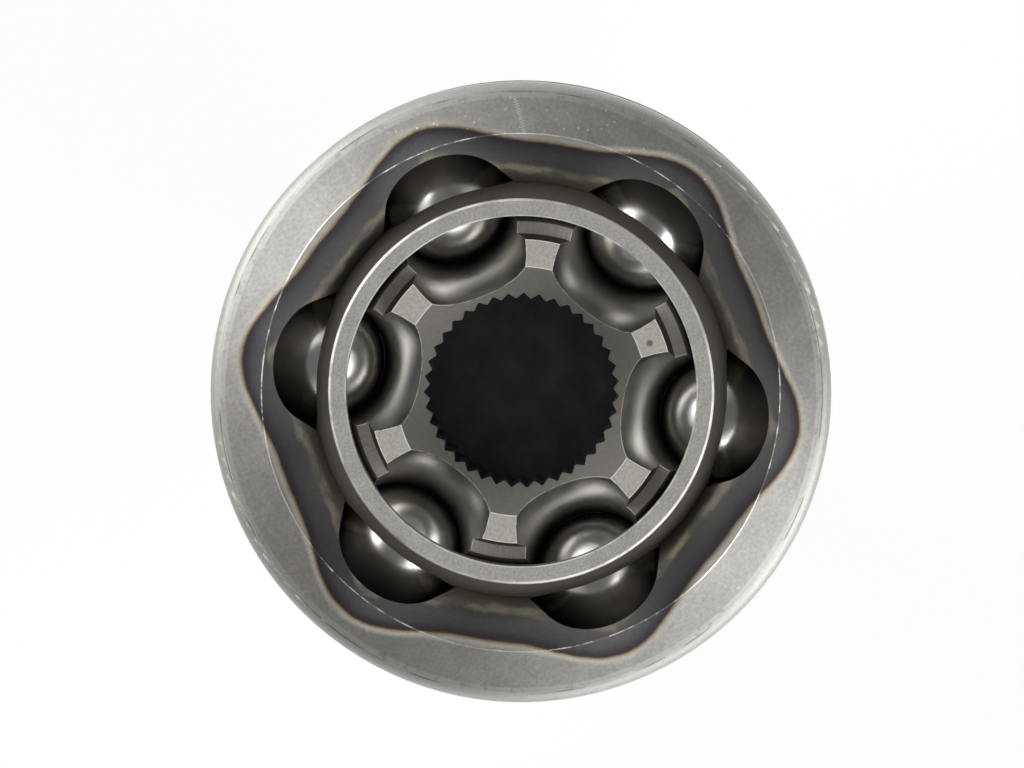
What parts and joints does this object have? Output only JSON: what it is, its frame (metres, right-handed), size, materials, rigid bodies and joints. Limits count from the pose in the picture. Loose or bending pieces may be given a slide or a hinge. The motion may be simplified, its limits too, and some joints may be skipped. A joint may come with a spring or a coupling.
{
  "type": "constant velocity joint",
  "caption": "Fixed ball joint of a drive shaft: a bell with a splined, threaded stub axle, holding a windowed cage, steel balls and a star-shaped inner race with a serrated bore.",
  "frame": {"origin": "joint centre, where the shaft axis and the stub axis meet, on the axis of the serrated bore", "axes": "+Z out of the open mouth of the bell along the stub axis, +X through the centre of ball_1, the joint bends about +Y"},
  "size_m": [0.0908, 0.0908, 0.1365],
  "materials": {
    "bell_steel": "turned at the mouth and the bearing seats, dark hardened tracks",
    "cage_steel": "ground rim, satin",
    "race_steel": "satin faces, polished grooves",
    "ball_steel": "polished bearing steel"
  },
  "bodies": {
    "outer_race": {"outer_race": "bell_steel"},
    "inner_race": {"inner_race": "race_steel"},
    "cage": {"cage": "cage_steel"},
    "ball_1": {"ball_1": "ball_steel"},
    "ball_2": {"ball_2": "ball_steel"},
    "ball_3": {"ball_3": "ball_steel"},
    "ball_4": {"ball_4": "ball_steel"},
    "ball_5": {"ball_5": "ball_steel"},
    "ball_6": {"ball_6": "ball_steel"}
  },
  "joints": [
    {"name": "shaft_bend", "type": "hinge", "parent": "outer_race", "child": "inner_race", "pos_m": [0, 0, 0], "axis": [0, 1, 0], "range_deg": [-45, 45]},
    {"name": "cage_bend", "type": "hinge", "parent": "outer_race", "child": "cage", "pos_m": [0, 0, 0], "axis": [0, 1, 0], "range_deg": [-22.5, 22.5]},
    {"name": "ball_1_track", "type": "hinge", "parent": "outer_race", "child": "ball_1", "pos_m": [0, 0, 0.003], "axis": [0, 1, 0], "range_deg": [-22.5, 22.5]},
    {"name": "ball_2_track", "type": "hinge", "parent": "outer_race", "child": "ball_2", "pos_m": [0, 0, 0.003], "axis": [-0.866, 0.5, 0], "range_deg": [-11.7, 11.7]},
    {"name": "ball_3_track", "type": "hinge", "parent": "outer_race", "child": "ball_3", "pos_m": [0, 0, 0.003], "axis": [-0.866, -0.5, 0], "range_deg": [-11.7, 11.7]},
    {"name": "ball_4_track", "type": "hinge", "parent": "outer_race", "child": "ball_4", "pos_m": [0, 0, 0.003], "axis": [0, -1, 0], "range_deg": [-22.5, 22.5]},
    {"name": "ball_5_track", "type": "hinge", "parent": "outer_race", "child": "ball_5", "pos_m": [0, 0, 0.003], "axis": [0.866, -0.5, 0], "range_deg": [-11.7, 11.7]},
    {"name": "ball_6_track", "type": "hinge", "parent": "outer_race", "child": "ball_6", "pos_m": [0, 0, 0.003], "axis": [0.866, 0.5, 0], "range_deg": [-11.7, 11.7]}
  ],
  "couplings": [
    {"joint": "cage_bend", "follows": "shaft_bend", "ratio": 0.5},
    {"joint": "ball_1_track", "follows": "shaft_bend", "ratio": 0.5},
    {"joint": "ball_2_track", "follows": "shaft_bend", "ratio": 0.26},
    {"joint": "ball_3_track", "follows": "shaft_bend", "ratio": -0.26},
    {"joint": "ball_4_track", "follows": "shaft_bend", "ratio": -0.5},
    {"joint": "ball_5_track", "follows": "shaft_bend", "ratio": -0.26},
    {"joint": "ball_6_track", "follows": "shaft_bend", "ratio": 0.26}
  ]
}
